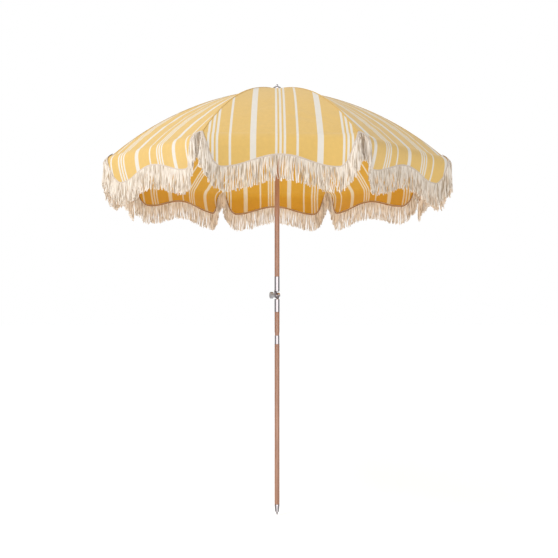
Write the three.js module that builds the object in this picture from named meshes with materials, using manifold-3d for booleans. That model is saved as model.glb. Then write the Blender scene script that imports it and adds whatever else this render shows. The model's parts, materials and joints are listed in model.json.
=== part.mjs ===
// Beach umbrella with a two-piece wooden pole, a tilting knuckle, eight ribs and a fringed canopy.
// Millimetres, +Z up. The origin is the point of the ground spike; the front gore faces -Y.
import * as THREE from "three";
import { mergeVertices } from "three/addons/utils/BufferGeometryUtils.js";
import Module from "manifold-3d";

const wasm = await Module();
wasm.setup();
const degrees = THREE.MathUtils.degToRad;

// ---------------------------------------------------------------- driving dimensions
const GAP = 0.3; // between pieces that touch on the real object
const GORES = 8;
const HALF_GORE = degrees(180 / GORES);
const FRONT = degrees(-90);

const POLE = { radius: 13.5, tenon: 12.2, sides: 18 };
const SPIKE = { neck: 18, shoulder: 22, top: 62, pinRadius: 6, footRadius: 10.2, socket: 40 };
const FERRULE = { bottom: 925, top: 971, radius: 12.8, bore: 11.4, seat: 937 };
const SPIGOT = { radius: 11, bore: 9.9, bottom: 939 };
const TAPER_TOP = 991; // the middle pole narrows from here down to the ferrule

const TILT = {
  turn: degrees(18), // the pin's heading, measured from +X
  height: 1188,
  sleeveRadius: 13.9,
  bore: 12.6,
  baseBottom: 1098,
  baseTop: 1168.5,
  headBottom: 1207.5,
  headTop: 1288,
  web: 14, // solid metal between the bore's end and the ear
  earRadius: 14.6,
  earWidth: 11.8,
  pinRadius: 4,
};
const KNOB = { inner: -13, face: -23, outer: -39, radius: 18, lobes: 8 };

const CROWN = { pivotRadius: 21, pivotHeight: 2282, radius: 26.5, bottom: 2268, top: 2290 };
const CAP = { bottom: 2296.4, shoulder: 2305, top: 2314.5, radius: 21.5, wall: 1.5 };
const FINIAL_TOP = 2325.6;
const STUD = { radius: 3, bottom: 2274 };

// Along a rib the cloth follows one circular arc, drawn in the rib's upright plane.
const ARC = { radius: 1655, tipRadius: 875, tipHeight: 1872, tipSlope: degrees(43) };
const CLOTH = 1.2;
const CLOTH_START = 12; // radius of the hole in the middle of the canopy
const SEAM_CLEARANCE = 0.8;
const SAG = 6;
const RIB = { radius: 2.6, underCloth: 7, joins: 80, bracketRadius: 420, bracketDrop: 5, tipBall: 4 };

const RUNNER = {
  pivotRadius: 26,
  pivotHeight: 1990,
  flangeRadius: 32,
  flangeBottom: 1979,
  flangeTop: 1998,
  radius: 20,
  bore: 14.1,
  bottom: 1936,
};
const BUTTON = { radius: 5, inner: 17, outer: 24.5, height: 1957 };
const STRETCHER = { offset: 6.5, width: 3, rod: 2.5, eye: 4.2, eyeHalf: 7, rodInset: 9, rivet: 2 };
const BRACKET = { length: 16, width: 7, wall: 6 };

// The valance hangs from the straight edge between two rib tips.
const VALANCE = { top: 1870.9, lobe: 250, cornerAt: 292, centre: 100, deepest: 150, corner: 118 };
const FLARE = { centre: 26, lobe: 16, drop: 18, tuck: 30 };
const FRINGE = { length: 104, thick: 4, stand: 0.5 };

// ---------------------------------------------------------------- materials
const finish = (color, roughness, metalness) =>
  new THREE.MeshStandardMaterial({ color, roughness, metalness });
const wood = () => finish(0xc9946f, 0.45, 0);
const steel = () => finish(0xc9c8ca, 0.25, 1);
const nylon = () => finish(0xe4e1d8, 0.5, 0);
const greyPlastic = () => finish(0xa2a2a2, 0.55, 0);
const fibreglass = () => finish(0xeeeae0, 0.35, 0);
const canvas = () => finish(0xe6c473, 0.85, 0);
const cotton = () => finish(0xdfd3c4, 0.95, 0);

// ---------------------------------------------------------------- shaping tools
function solidOf(geometry) {
  const bare = geometry.index ? geometry.toNonIndexed() : geometry.clone();
  bare.deleteAttribute("normal");
  bare.deleteAttribute("uv");
  const merged = mergeVertices(bare, 1e-4);
  const corners = [];
  for (let i = 0; i < merged.index.count; i += 3) {
    const [a, b, c] = [0, 1, 2].map((k) => merged.index.getX(i + k));
    if (a !== b && b !== c && c !== a) corners.push(a, b, c);
  }
  const vertProperties = merged.attributes.position.array;
  return new wasm.Manifold(
    new wasm.Mesh({ numProp: 3, vertProperties, triVerts: new Uint32Array(corners) }),
  );
}

function geometryOf(solid) {
  const { vertProperties, triVerts } = solid.getMesh();
  return new THREE.BufferGeometry()
    .setAttribute("position", new THREE.BufferAttribute(vertProperties, 3))
    .setIndex(new THREE.BufferAttribute(triVerts, 1))
    .toNonIndexed();
}

const joined = (first, ...rest) =>
  geometryOf(rest.reduce((sum, g) => sum.add(solidOf(g)), solidOf(first)));
const cut = (first, ...rest) =>
  geometryOf(rest.reduce((left, g) => left.subtract(solidOf(g)), solidOf(first)));

// A solid turned about Z from [radius, height] pairs; the outside runs upwards.
function turned(profile, sides = POLE.sides) {
  const points = profile.map(([r, z]) => new THREE.Vector2(r, z));
  return new THREE.LatheGeometry(points, sides).rotateX(Math.PI / 2);
}

// A plate whose outline lies in the upright X-Z plane and whose thickness runs from y0 to y1.
function uprightPlate(shape, y0, y1, curveSegments = 6) {
  const settings = { depth: y1 - y0, bevelEnabled: false, curveSegments };
  return new THREE.ExtrudeGeometry(shape, settings).rotateX(Math.PI / 2).translate(0, y1, 0);
}

// A round bar along X.
const barX = (radius, x0, x1, sides = 16) =>
  new THREE.CylinderGeometry(radius, radius, x1 - x0, sides)
    .rotateZ(Math.PI / 2)
    .translate((x0 + x1) / 2, 0, 0);

// A closed sheet from a grid of mid-surface points and their normals.
function sheet(rows, thickness) {
  const across = rows[0].length;
  const sides = [0.5, -0.5].map((share) =>
    rows.map((row) =>
      row.map(({ at, normal }) => at.clone().addScaledVector(normal, share * thickness)),
    ),
  );
  const [outer, inner] = sides;
  const positions = [];
  const quad = (a, b, c, d) => [a, b, c, a, c, d].forEach((p) => positions.push(p.x, p.y, p.z));
  for (let j = 0; j < rows.length - 1; j++) {
    for (let i = 0; i < across - 1; i++) {
      quad(outer[j][i], outer[j + 1][i], outer[j + 1][i + 1], outer[j][i + 1]);
      quad(inner[j][i], inner[j][i + 1], inner[j + 1][i + 1], inner[j + 1][i]);
    }
    quad(outer[j][0], inner[j][0], inner[j + 1][0], outer[j + 1][0]);
    const last = across - 1;
    quad(outer[j][last], outer[j + 1][last], inner[j + 1][last], inner[j][last]);
  }
  const bottom = rows.length - 1;
  for (let i = 0; i < across - 1; i++) {
    quad(outer[0][i], outer[0][i + 1], inner[0][i + 1], inner[0][i]);
    quad(outer[bottom][i], inner[bottom][i], inner[bottom][i + 1], outer[bottom][i + 1]);
  }
  const attribute = new THREE.Float32BufferAttribute(positions, 3);
  return new THREE.BufferGeometry().setAttribute("position", attribute);
}

const umbrella = new THREE.Group();
function addPart(name, geometry, material, heading = 0) {
  const mesh = new THREE.Mesh(geometry, material);
  mesh.name = name;
  mesh.rotation.z = heading;
  umbrella.add(mesh);
}

// ---------------------------------------------------------------- pole and its fittings
function groundSpike() {
  return turned([
    [0, 0],
    [2.2, 5],
    [SPIKE.pinRadius, SPIKE.neck],
    [SPIKE.pinRadius, SPIKE.shoulder],
    [SPIKE.footRadius, SPIKE.shoulder],
    [POLE.radius, SPIKE.top - 8],
    [POLE.radius, SPIKE.top],
    [10, SPIKE.top],
    [10, SPIKE.socket],
    [0, SPIKE.socket],
  ]);
}

function poleLower() {
  return turned([
    [0, SPIKE.socket + GAP],
    [9.6, SPIKE.socket + GAP],
    [9.6, SPIKE.top + GAP],
    [POLE.radius, SPIKE.top + GAP],
    [POLE.radius, FERRULE.bottom - GAP],
    [FERRULE.bore - 0.4, FERRULE.bottom - GAP],
    [FERRULE.bore - 0.4, FERRULE.seat],
    [0, FERRULE.seat],
  ]);
}

function ferruleSocket() {
  return turned([
    [FERRULE.bore, FERRULE.bottom],
    [FERRULE.radius, FERRULE.bottom],
    [FERRULE.radius, FERRULE.top],
    [FERRULE.bore, FERRULE.top],
    [FERRULE.bore, FERRULE.bottom],
  ]);
}

function ferruleSpigot() {
  return turned([
    [0, SPIGOT.bottom],
    [SPIGOT.radius - 1, SPIGOT.bottom],
    [SPIGOT.radius, SPIGOT.bottom + 2],
    [SPIGOT.radius, FERRULE.top],
    [SPIGOT.bore, FERRULE.top],
    [SPIGOT.bore, SPIGOT.bottom + 2],
    [0, SPIGOT.bottom + 2],
  ]);
}

function poleMiddle() {
  const tenonEnd = SPIGOT.bottom + 2 + GAP;
  return turned([
    [0, tenonEnd],
    [SPIGOT.bore - 0.4, tenonEnd],
    [SPIGOT.bore - 0.4, FERRULE.top + GAP],
    [POLE.radius - 2, FERRULE.top + GAP],
    [POLE.radius, TAPER_TOP],
    [POLE.radius, TILT.baseBottom - GAP],
    [POLE.tenon, TILT.baseBottom - GAP],
    [POLE.tenon, TILT.baseTop - TILT.web - GAP],
    [0, TILT.baseTop - TILT.web - GAP],
  ]);
}

// One ear of the tilting knuckle: a plate that ends in a half disc about the pin.
function tiltEar(from, x0, x1) {
  const shape = new THREE.Shape();
  const up = from < TILT.height;
  shape.moveTo(-TILT.earRadius, from);
  shape.absarc(0, TILT.height, TILT.earRadius, Math.PI, 0, up);
  shape.lineTo(TILT.earRadius, from);
  shape.closePath();
  const settings = { depth: x1 - x0, bevelEnabled: false, curveSegments: 14 };
  const yzPlane = new THREE.Matrix4().makeBasis(
    new THREE.Vector3(0, 1, 0),
    new THREE.Vector3(0, 0, 1),
    new THREE.Vector3(1, 0, 0),
  );
  return new THREE.ExtrudeGeometry(shape, settings).applyMatrix4(yzPlane).translate(x0, 0, 0);
}

const pinHole = () => barX(TILT.pinRadius + 0.4, -40, 40).translate(0, 0, TILT.height);

function tiltBase() {
  const sleeve = turned([
    [0, TILT.baseTop - TILT.web],
    [TILT.bore, TILT.baseTop - TILT.web],
    [TILT.bore, TILT.baseBottom],
    [TILT.sleeveRadius, TILT.baseBottom],
    [TILT.sleeveRadius, TILT.baseTop - 3],
    [TILT.sleeveRadius - 2, TILT.baseTop],
    [0, TILT.baseTop],
  ]);
  const ear = tiltEar(TILT.baseTop - TILT.web / 2, GAP, TILT.earWidth);
  return cut(joined(sleeve, ear), pinHole());
}

function tiltHead() {
  const sleeve = turned([
    [0, TILT.headBottom],
    [TILT.sleeveRadius - 2, TILT.headBottom],
    [TILT.sleeveRadius, TILT.headBottom + 3],
    [TILT.sleeveRadius, TILT.headTop],
    [TILT.bore, TILT.headTop],
    [TILT.bore, TILT.headBottom + TILT.web],
    [0, TILT.headBottom + TILT.web],
  ]);
  const ear = tiltEar(TILT.headBottom + TILT.web / 2, -TILT.earWidth, -GAP);
  return cut(joined(sleeve, ear), pinHole());
}

// A hexagon-headed bolt through both ears, its threaded end inside the knob.
function tiltPin() {
  const head = barX(7.5, TILT.earWidth + GAP, TILT.earWidth + 5, 6);
  const shank = barX(TILT.pinRadius, KNOB.outer + 6, TILT.earWidth + 1);
  return joined(head, shank).translate(0, 0, TILT.height);
}

function tiltKnob() {
  const outline = new THREE.Shape();
  const steps = KNOB.lobes * 4;
  for (let i = 0; i < steps; i++) {
    const angle = (i / steps) * 2 * Math.PI;
    const radius = KNOB.radius - 1.6 + 0.7 * Math.cos(KNOB.lobes * angle);
    outline.lineTo(radius * Math.cos(angle), radius * Math.sin(angle));
  }
  const settings = {
    depth: KNOB.face - KNOB.outer - 4,
    bevelSize: 0.9,
    bevelThickness: 2,
    bevelSegments: 1,
  };
  const grip = new THREE.ExtrudeGeometry(outline, settings)
    .rotateY(Math.PI / 2)
    .translate(KNOB.outer + 2, 0, 0);
  const neck = barX(8.5, KNOB.face - 1, KNOB.inner, 20);
  const bore = barX(TILT.pinRadius + 0.4, KNOB.outer + 5, KNOB.inner + 5);
  return cut(joined(grip, neck), bore).translate(0, 0, TILT.height);
}

function poleUpper() {
  const tenonEnd = TILT.headBottom + TILT.web + GAP;
  return turned([
    [0, tenonEnd],
    [POLE.tenon, tenonEnd],
    [POLE.tenon, TILT.headTop + GAP],
    [POLE.radius, TILT.headTop + GAP],
    [POLE.radius, CROWN.bottom - GAP],
    [9, CROWN.bottom - GAP],
    [9, CROWN.top + 4],
    [STUD.radius + 0.4, CROWN.top + 4],
    [STUD.radius + 0.4, STUD.bottom - 2],
    [0, STUD.bottom - 2],
  ]);
}

// ---------------------------------------------------------------- crown and runner
function slots(radius0, radius1, offset, width, bottom, top, firstHeading) {
  return Array.from({ length: GORES }, (_, i) =>
    new THREE.BoxGeometry(radius1 - radius0, width, top - bottom)
      .translate((radius0 + radius1) / 2, offset, (top + bottom) / 2)
      .rotateZ(firstHeading + 2 * HALF_GORE * i),
  );
}

function crownHub() {
  const ring = turned([
    [9.4, CROWN.bottom],
    [CROWN.radius - 2, CROWN.bottom],
    [CROWN.radius, CROWN.bottom + 3],
    [CROWN.radius, CROWN.top - 1.5],
    [CROWN.radius - 1.5, CROWN.top],
    [9.4, CROWN.top],
    [9.4, CROWN.bottom],
  ]);
  const ribSlots = slots(15.5, 40, 0, 5.4, CROWN.bottom - 5, CROWN.top + 5, FRONT + HALF_GORE);
  return cut(ring, ...ribSlots);
}

function crownCap() {
  const inside = CAP.radius - CAP.wall;
  const hole = STUD.radius + 0.4;
  return turned([
    [inside, CAP.bottom],
    [CAP.radius, CAP.bottom],
    [CAP.radius, CAP.shoulder],
    [CAP.radius - 2, CAP.shoulder + 4],
    [14, CAP.top - 3],
    [7, CAP.top],
    [hole, CAP.top],
    [hole, CAP.top - 3],
    [7, CAP.top - 3],
    [13, CAP.top - 6],
    [inside - 1.5, CAP.shoulder + 2],
    [inside, CAP.shoulder - 2],
    [inside, CAP.bottom],
  ]);
}

function finial() {
  const foot = CAP.top + GAP;
  return turned([
    [0, STUD.bottom],
    [STUD.radius, STUD.bottom],
    [STUD.radius, foot],
    [5.4, foot],
    [6.2, foot + 3],
    [5.6, foot + 6],
    [3.6, FINIAL_TOP - 0.8],
    [0, FINIAL_TOP],
  ]);
}

function runner() {
  const body = turned([
    [RUNNER.bore, RUNNER.bottom],
    [RUNNER.radius - 1.5, RUNNER.bottom],
    [RUNNER.radius, RUNNER.bottom + 1.5],
    [RUNNER.radius, RUNNER.flangeBottom - 6],
    [RUNNER.flangeRadius - 1, RUNNER.flangeBottom],
    [RUNNER.flangeRadius, RUNNER.flangeBottom + 1],
    [RUNNER.flangeRadius, RUNNER.flangeTop - 1],
    [RUNNER.flangeRadius - 1, RUNNER.flangeTop],
    [RUNNER.bore, RUNNER.flangeTop],
    [RUNNER.bore, RUNNER.bottom],
  ]);
  const stretcherSlots = slots(
    19,
    45,
    STRETCHER.offset,
    STRETCHER.width + 1.6,
    RUNNER.flangeBottom - 8,
    RUNNER.flangeTop + 5,
    FRONT + HALF_GORE,
  );
  const buttonHole = barX(BUTTON.radius + 0.4, 10, 30)
    .rotateZ(FRONT)
    .translate(0, 0, BUTTON.height);
  return cut(body, ...stretcherSlots, buttonHole);
}

function runnerButton() {
  return barX(BUTTON.radius, BUTTON.inner, BUTTON.outer).rotateZ(FRONT).translate(0, 0, BUTTON.height);
}

// ---------------------------------------------------------------- ribs and stretchers
const arcCentre = {
  radius: ARC.tipRadius - ARC.radius * Math.sin(ARC.tipSlope),
  height: ARC.tipHeight - ARC.radius * Math.cos(ARC.tipSlope),
};
const slopeAt = (radius, depth = 0) =>
  Math.asin((radius - arcCentre.radius) / (ARC.radius - depth));
const arcPoint = (slope, depth = 0) => ({
  r: arcCentre.radius + (ARC.radius - depth) * Math.sin(slope),
  z: arcCentre.height + (ARC.radius - depth) * Math.cos(slope),
});

function ribPoint(slope, drop = 0) {
  const { r, z } = arcPoint(slope, RIB.underCloth + drop);
  return new THREE.Vector3(r, 0, z);
}

const bracketSlope = slopeAt(RIB.bracketRadius, RIB.underCloth + RIB.bracketDrop);

// A rod from the crown pivot to the tip, with an eye, a bracket for the stretcher and a ball end.
function rib() {
  const first = slopeAt(RIB.joins, RIB.underCloth);
  const last = ARC.tipSlope - degrees(0.15);
  const points = [new THREE.Vector3(CROWN.pivotRadius + 2, 0, CROWN.pivotHeight)];
  const spans = 6;
  for (let i = 0; i <= spans; i++) points.push(ribPoint(first + ((last - first) * i) / spans));
  const path = new THREE.CatmullRomCurve3(points);
  const section = new THREE.Shape().absarc(0, 0, RIB.radius, 0, 2 * Math.PI);
  const rod = new THREE.ExtrudeGeometry(section, {
    steps: 12,
    curveSegments: 3,
    bevelEnabled: false,
    extrudePath: path,
  });
  const eye = uprightPlate(new THREE.Shape().absarc(0, 0, 4.6, 0, 2 * Math.PI), -2, 2, 5);
  eye.translate(CROWN.pivotRadius, 0, CROWN.pivotHeight);
  const tip = ribPoint(last - degrees(0.1));
  const ball = new THREE.SphereGeometry(RIB.tipBall, 8, 5).translate(tip.x, tip.y, tip.z);
  const seat = ribPoint(bracketSlope, RIB.bracketDrop / 2);
  const bracket = new THREE.BoxGeometry(BRACKET.length, BRACKET.width, BRACKET.wall + RIB.bracketDrop)
    .rotateY(bracketSlope)
    .translate(seat.x, 0, seat.z);
  return joined(rod, eye, ball, bracket);
}

// A strut from the runner to the rib's bracket, beside the rib, with flattened eyes and a rivet.
function stretcher() {
  const outer = ribPoint(bracketSlope, RIB.bracketDrop);
  const inner = new THREE.Vector3(RUNNER.pivotRadius, 0, RUNNER.pivotHeight);
  const reach = outer.clone().sub(inner);
  const length = reach.length();
  const rise = Math.atan2(reach.z, reach.x);
  const half = STRETCHER.width / 2;
  const eye = (x) => {
    const shape = new THREE.Shape();
    shape.absarc(x - STRETCHER.eyeHalf, 0, STRETCHER.eye, Math.PI / 2, -Math.PI / 2, false);
    shape.absarc(x + STRETCHER.eyeHalf, 0, STRETCHER.eye, -Math.PI / 2, Math.PI / 2, false);
    return uprightPlate(shape, -half, half, 3);
  };
  const rod = barX(STRETCHER.rod, STRETCHER.rodInset, length - STRETCHER.rodInset, 6);
  const clearOfBracket = STRETCHER.offset - BRACKET.width / 2 - 0.5;
  const rivetLength = clearOfBracket + half + 1.5;
  const rivet = new THREE.CylinderGeometry(STRETCHER.rivet, STRETCHER.rivet, rivetLength, 6)
    .translate(length, (half + 1.5 - clearOfBracket) / 2, 0);
  const head = new THREE.CylinderGeometry(3, 3.6, 1.6, 8).translate(length, half + 0.7, 0);
  return joined(rod, eye(STRETCHER.eyeHalf), eye(length - STRETCHER.eyeHalf), rivet, head)
    .rotateY(-rise)
    .translate(inner.x, STRETCHER.offset, inner.z);
}

// ---------------------------------------------------------------- canopy cloth
// A gore is stretched straight from rib to rib and sags a little in the middle.
function gore() {
  const across = 4;
  const along = 8;
  const first = slopeAt(CLOTH_START);
  const rows = [];
  for (let j = 0; j <= along; j++) {
    const v = j / along;
    const slope = first + (ARC.tipSlope - first) * v;
    const { r, z } = arcPoint(slope);
    const normal = new THREE.Vector3(Math.sin(slope), 0, Math.cos(slope));
    const halfWidth = r * Math.sin(HALF_GORE) - SEAM_CLEARANCE;
    const row = [];
    for (let i = 0; i <= across; i++) {
      const u = (2 * i) / across - 1;
      const dip = SAG * (1 - u * u) * Math.sin(Math.PI * v);
      const at = new THREE.Vector3(r * Math.cos(HALF_GORE), u * halfWidth, z);
      row.push({ at: at.addScaledVector(normal, -dip), normal });
    }
    rows.push(row);
  }
  return sheet(rows, CLOTH);
}

const edgePlane = ARC.tipRadius * Math.cos(HALF_GORE);
const edgeHalf = ARC.tipRadius * Math.sin(HALF_GORE) - 1;

// How deep the valance hangs at a distance s from the gore's middle: two round lobes.
function valanceDepth(s) {
  const a = Math.abs(s);
  const { lobe, centre, deepest, corner, cornerAt } = VALANCE;
  if (a <= lobe) return (centre + deepest) / 2 - ((deepest - centre) / 2) * Math.cos((Math.PI * a) / lobe);
  return deepest - (deepest - corner) * ((a - lobe) / (cornerAt - lobe)) ** 2;
}

// The cloth leaves the edge at a slant, bends down and draws in again under the fringe's weight.
const flareAt = (s, depth) =>
  (FLARE.centre + FLARE.lobe * (s / VALANCE.lobe) ** 2) * (1 - Math.exp(-depth / FLARE.drop)) -
  FLARE.tuck * (depth / VALANCE.deepest) ** 2;

const hangingPoint = (s, depth, stand = 0) =>
  new THREE.Vector3(edgePlane + flareAt(s, depth) + stand, s, VALANCE.top - depth);

function valance() {
  const across = 12;
  const down = 3;
  const rows = [];
  for (let j = 0; j <= down; j++) {
    const v = j / down;
    const row = [];
    for (let i = 0; i <= across; i++) {
      const u = (2 * i) / across - 1;
      const foot = VALANCE.cornerAt * u;
      const s = edgeHalf * u + (foot - edgeHalf * u) * v;
      const at = hangingPoint(s, valanceDepth(foot) * v);
      row.push({ at, normal: new THREE.Vector3(1, 0, 0) });
    }
    rows.push(row);
  }
  return sheet(rows, CLOTH);
}

// The edge that carries the fringe: down one side of the slit, along the lobes and up again.
function fringeLine() {
  const sideSteps = 2;
  const line = [];
  for (let i = 0; i < sideSteps; i++) {
    const v = i / sideSteps;
    line.push([-edgeHalf + (edgeHalf - VALANCE.cornerAt) * v, VALANCE.corner * v]);
  }
  const bottomSteps = 12;
  for (let i = 0; i <= bottomSteps; i++) {
    const s = VALANCE.cornerAt * ((2 * i) / bottomSteps - 1);
    line.push([s, valanceDepth(s)]);
  }
  for (let i = sideSteps - 1; i >= 0; i--) line.push([-line[i][0], line[i][1]]);
  return line;
}

function fringe() {
  const stand = CLOTH / 2 + FRINGE.stand + FRINGE.thick / 2;
  const normal = new THREE.Vector3(1, 0, 0);
  const rows = [0, 1].map((share) =>
    fringeLine().map(([s, depth]) => {
      const at = hangingPoint(s, depth, stand);
      at.z -= FRINGE.length * share;
      return { at, normal };
    }),
  );
  return sheet(rows, FRINGE.thick);
}

// ---------------------------------------------------------------- assembly
addPart("ground_spike", groundSpike(), steel());
addPart("pole_lower", poleLower(), wood());
addPart("ferrule_socket", ferruleSocket(), steel());
addPart("ferrule_spigot", ferruleSpigot(), steel());
addPart("pole_middle", poleMiddle(), wood());
addPart("tilt_base", tiltBase(), steel(), TILT.turn);
addPart("tilt_head", tiltHead(), steel(), TILT.turn);
addPart("tilt_pin", tiltPin(), steel(), TILT.turn);
addPart("tilt_knob", tiltKnob(), greyPlastic(), TILT.turn);
addPart("pole_upper", poleUpper(), wood());
addPart("crown_hub", crownHub(), nylon());
addPart("crown_cap", crownCap(), steel());
addPart("finial", finial(), steel());
addPart("runner", runner(), nylon());
addPart("runner_button", runnerButton(), steel());

for (let i = 0; i < GORES; i++) {
  const goreHeading = FRONT + 2 * HALF_GORE * i;
  const ribHeading = goreHeading + HALF_GORE;
  const number = i + 1;
  addPart(`rib_${number}`, rib(), fibreglass(), ribHeading);
  addPart(`stretcher_${number}`, stretcher(), steel(), ribHeading);
  addPart(`gore_${number}`, gore(), canvas(), goreHeading);
  addPart(`valance_${number}`, valance(), canvas(), goreHeading);
  addPart(`fringe_${number}`, fringe(), cotton(), goreHeading);
}

export default umbrella;
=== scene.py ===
"""Beach umbrella: striped canvas canopy with fringed valances on a jointed wooden pole."""
import json
import math

import bmesh
import bpy
from mathutils import Matrix, Vector, noise


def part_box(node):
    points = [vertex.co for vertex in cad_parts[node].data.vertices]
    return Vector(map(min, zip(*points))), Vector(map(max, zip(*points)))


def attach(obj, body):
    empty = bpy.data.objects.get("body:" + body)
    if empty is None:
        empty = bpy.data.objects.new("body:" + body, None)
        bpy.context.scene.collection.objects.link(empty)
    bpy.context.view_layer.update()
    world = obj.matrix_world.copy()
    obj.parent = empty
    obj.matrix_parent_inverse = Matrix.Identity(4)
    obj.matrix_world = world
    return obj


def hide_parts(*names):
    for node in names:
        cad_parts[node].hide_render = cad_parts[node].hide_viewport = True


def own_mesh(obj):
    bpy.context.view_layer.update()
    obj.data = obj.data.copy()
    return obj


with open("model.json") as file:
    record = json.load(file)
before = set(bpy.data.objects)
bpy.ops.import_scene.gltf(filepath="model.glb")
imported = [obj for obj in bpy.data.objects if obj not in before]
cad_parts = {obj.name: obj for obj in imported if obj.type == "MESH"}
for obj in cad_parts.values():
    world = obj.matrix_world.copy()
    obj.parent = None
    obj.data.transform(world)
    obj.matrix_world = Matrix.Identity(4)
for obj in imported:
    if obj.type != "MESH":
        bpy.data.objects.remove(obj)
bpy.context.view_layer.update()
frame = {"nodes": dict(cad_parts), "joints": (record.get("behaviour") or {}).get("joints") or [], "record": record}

bl_info = {
    "name": "Beach Umbrella",
    "version": (1, 0, 0),
    "blender": (4, 5, 0),
    "location": "View3D > Sidebar > Umbrella",
    "description": "Builds a fringed beach umbrella round its CAD frame",
    "category": "Object",
}

MM = 0.001
GORES = 8
HALF_GORE = math.pi / GORES
FRONT = -math.pi / 2
JOINTS = {j["name"]: j for j in frame["joints"]}
BODIES = frame["record"]["behaviour"]["bodies"]
BODY_OF = {node: body for body, nodes in BODIES.items() for node in nodes}

# Places that come from the frame: the straight lower edge of a gore, and the ribs' pivots.
EDGE_AT = Vector(JOINTS["valance_1_hang"]["pos_m"])
EDGE_PLANE = EDGE_AT.xy.length
EDGE_HEIGHT = EDGE_AT.z
TIP_RADIUS = EDGE_PLANE / math.cos(HALF_GORE)
CROWN_PIVOT = Vector(JOINTS["rib_1_fold"]["pos_m"])
CLOTH_HOLE = 12 * MM


# ------------------------------------------------------------------ settings a user would change


def length_setting(label, words, default, least, most):
    return bpy.props.FloatProperty(
        name=label, description=words, default=default, min=least, max=most, unit="LENGTH")


class CanopySettings(bpy.types.PropertyGroup):
    """Sizes of the cloth"""

    arc_radius: length_setting(
        "Arc radius", "Radius of the curve of cloth over a rib",
        1.655, 1.0, 4.0)
    tip_slope: bpy.props.FloatProperty(
        name="Tip slope", description="How steeply the cloth falls at a rib's tip",
        default=math.radians(43), min=0.2, max=1.4, subtype="ANGLE")
    sag: length_setting(
        "Sag", "How far a gore's middle hangs below the line between its ribs",
        6 * MM, 0.0, 0.05)
    cloth: length_setting("Cloth thickness", "Thickness of the canvas", 0.8 * MM, 0.0002, 0.005)
    stripe_repeat: length_setting(
        "Stripe repeat", "Width of cloth after which the stripes start again",
        285 * MM, 0.05, 1.0)


class ValanceSettings(bpy.types.PropertyGroup):
    """Sizes of the hanging flaps and their fringe"""

    centre_drop: length_setting(
        "Drop at the middle", "Height of the flap at the gore's middle",
        100 * MM, 0.02, 0.4)
    lobe_drop: length_setting(
        "Drop at a lobe", "Height of the flap at its two round lobes",
        150 * MM, 0.02, 0.4)
    corner_drop: length_setting(
        "Drop at a corner", "Height of the flap beside the slit at a rib",
        118 * MM, 0.02, 0.4)
    lobe_at: length_setting(
        "Lobe place", "Distance of a lobe from the gore's middle",
        250 * MM, 0.05, 0.32)
    corner_at: length_setting(
        "Corner place", "Distance of a corner from the gore's middle",
        292 * MM, 0.1, 0.33)
    flare: length_setting(
        "Flare", "How far the flap stands out at the gore's middle",
        26 * MM, 0.0, 0.1)
    lobe_flare: length_setting(
        "Extra flare", "How much further the lobes stand out",
        16 * MM, 0.0, 0.1)
    fringe: length_setting(
        "Fringe length", "Length of the cords below the braid",
        103 * MM, 0.01, 0.4)
    pitch: length_setting(
        "Cord pitch", "Distance from one cord to the next",
        4.4 * MM, 0.001, 0.02)
    cord: length_setting(
        "Cord radius", "Radius of one twisted cotton cord",
        2.4 * MM, 0.0003, 0.005)


def colour_setting(label, words, hex_colour):
    """A colour property whose default is an sRGB hex value."""
    return bpy.props.FloatVectorProperty(
        name=label, description=words, subtype="COLOR", size=4, min=0.0, max=1.0,
        default=linear(hex_colour))


def linear(hex_colour):
    """An sRGB hex colour as linear RGBA."""
    parts = [int(hex_colour[i:i + 2], 16) / 255 for i in (1, 3, 5)]
    return [p / 12.92 if p <= 0.04045 else ((p + 0.055) / 1.055) ** 2.4 for p in parts] + [1.0]


class ColourSettings(bpy.types.PropertyGroup):
    """Colours of the finishes"""

    canvas: colour_setting("Canvas", "Ground colour of the canvas outside", "#F0C772")
    # The underside's deeper orange is painted light: it stands for light shining through the canvas and bouncing
    # under it.
    canvas_inside_painted_light: colour_setting("Canvas inside", "Colour seen from below, with painted light shining through the canvas", "#E4AC30")
    stripe: colour_setting("Stripe", "Colour of the woven stripes", "#EFE8DC")
    cotton: colour_setting("Cotton", "Colour of the fringe", "#FBF0E2")
    wood: colour_setting("Wood", "Colour of the pole", "#BF8C70")
    steel: colour_setting("Steel", "Colour of the polished fittings", "#D0C9CB")
    knob: colour_setting("Knob", "Colour of the clamping knob", "#ACABAE")
    nylon: colour_setting("Nylon", "Colour of the hub and the runner", "#E6E3DA")


# ------------------------------------------------------------------ small tools


def add(tree, kind, settings=None, inputs=None):
    """A node with its settings; an input takes a value, or the output socket that feeds it."""
    made = tree.nodes.new(kind)
    for key, value in (settings or {}).items():
        setattr(made, key, value)
    for key, value in (inputs or {}).items():
        if isinstance(value, bpy.types.NodeSocket):
            tree.links.new(value, made.inputs[key])
        else:
            made.inputs[key].default_value = value
    return made


def turn(point, heading):
    """A point of a gore's or rib's own frame (outwards, sideways, up) in the row frame."""
    x, y, z = point
    return Vector((
        x * math.cos(heading) - y * math.sin(heading),
        x * math.sin(heading) + y * math.cos(heading),
        z,
    ))


def around(offset=0.0):
    """The number and heading of each gore, or of the rib after it."""
    return [(k + 1, FRONT + offset + 2 * HALF_GORE * k) for k in range(GORES)]


def sideways(heading):
    return (-math.sin(heading), math.cos(heading), 0.0)


def place(name, mesh, body, slot, *materials):
    """A finished mesh as a piece of the umbrella that rides on a body."""
    piece = bpy.data.objects.new(name, mesh)
    bpy.context.scene.collection.objects.link(piece)
    for material in materials:
        mesh.materials.append(material)
    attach(piece, body)
    return piece


def mesh_of(name, shape, smooth=True):
    """A bmesh turned into a mesh, with every face smooth or flat."""
    for face in shape.faces:
        face.smooth = smooth
    mesh = bpy.data.meshes.new(name)
    shape.to_mesh(mesh)
    shape.free()
    return mesh


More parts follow.
